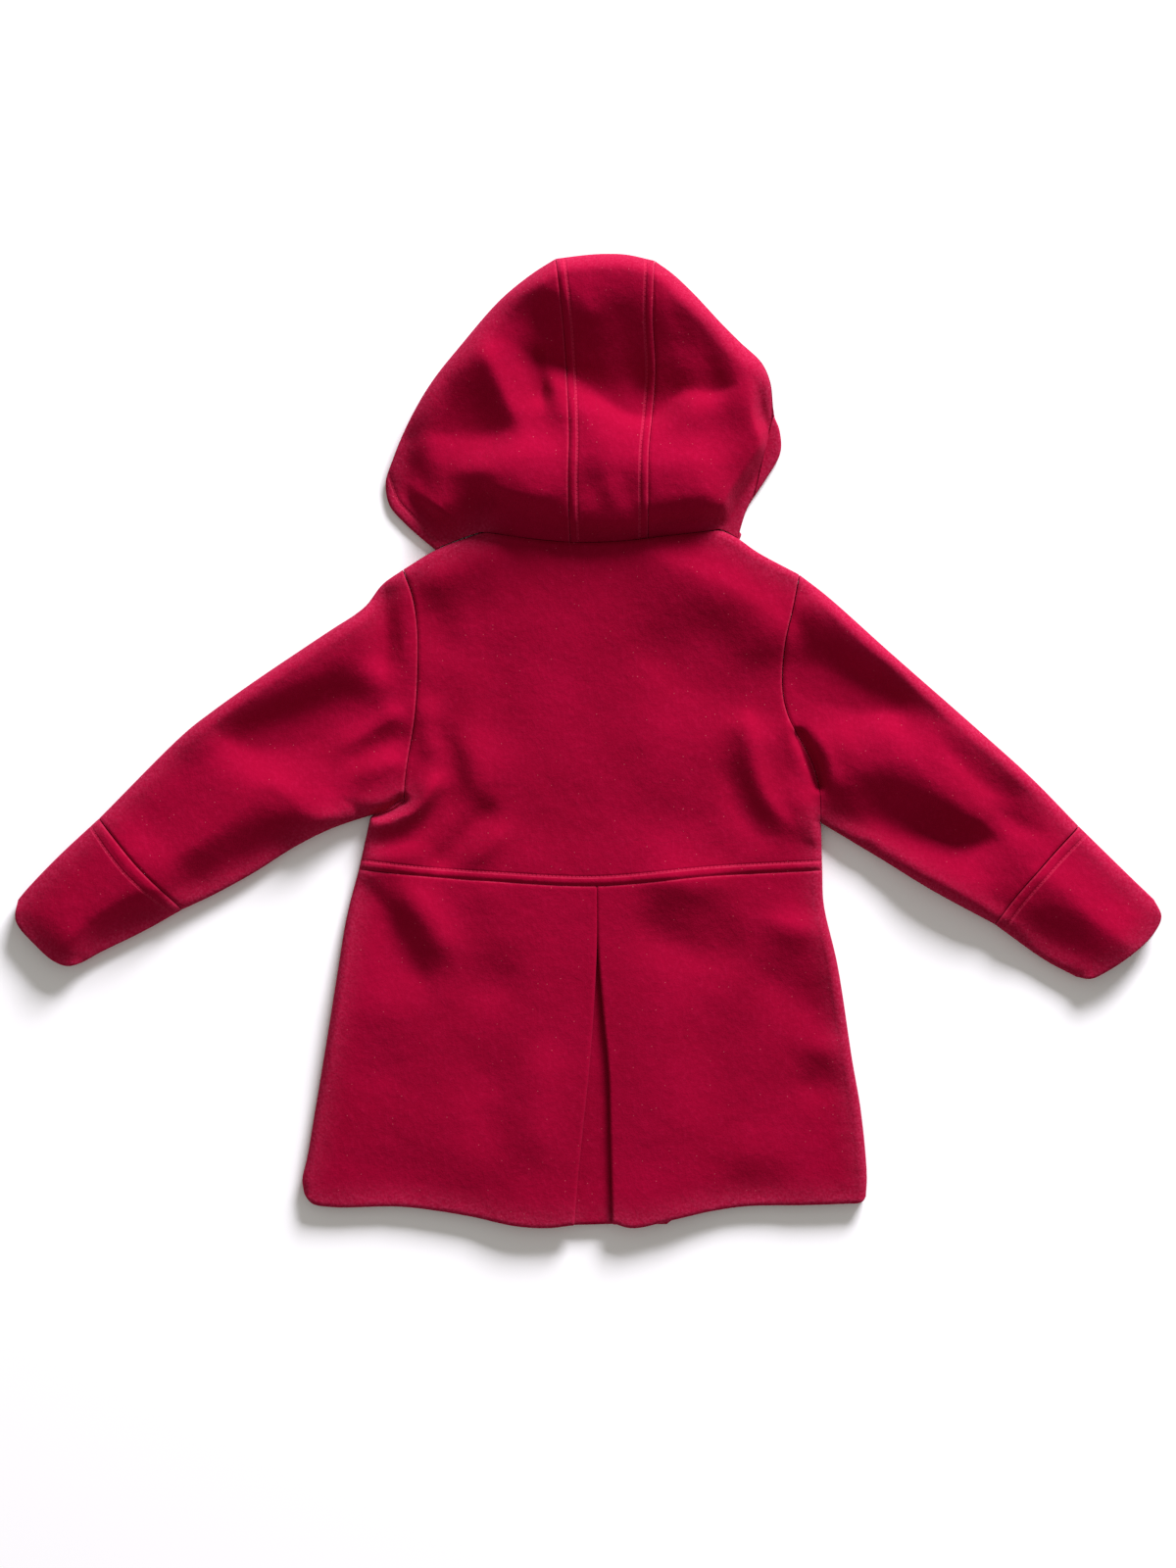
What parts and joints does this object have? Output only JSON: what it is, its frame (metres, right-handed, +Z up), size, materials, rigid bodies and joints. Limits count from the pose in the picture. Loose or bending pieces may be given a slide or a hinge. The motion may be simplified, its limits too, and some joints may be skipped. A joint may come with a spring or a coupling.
{
  "type": "hooded coat",
  "caption": "child's hooded wool coat in crimson, laid flat face down with sleeves spread, inverted back pleat, waist seam, cuff bands and three-piece hood",
  "frame": {"origin": "on the floor under the middle of the coat's outline as it lies", "axes": "+X to the right as seen from above, across the sleeves; +Y from the hem towards the hood; +Z up, away from the floor, out of the coat's back"},
  "size_m": [0.8416, 0.715, 0.0403],
  "materials": {
    "wool_body": "brushed wool melton, soft nap, matte",
    "wool_sleeve": "brushed wool melton, soft nap, matte",
    "wool_hood": "brushed wool melton, soft nap, matte"
  },
  "bodies": {
    "root": {"back_bodice": "wool_body", "back_skirt": "wool_body", "front_left": "wool_body", "front_right": "wool_body", "sleeve_left": "wool_sleeve", "sleeve_right": "wool_sleeve", "cuff_left": "wool_sleeve", "cuff_right": "wool_sleeve", "hood_centre": "wool_hood", "hood_left": "wool_hood", "hood_right": "wool_hood"}
  },
  "joints": []
}
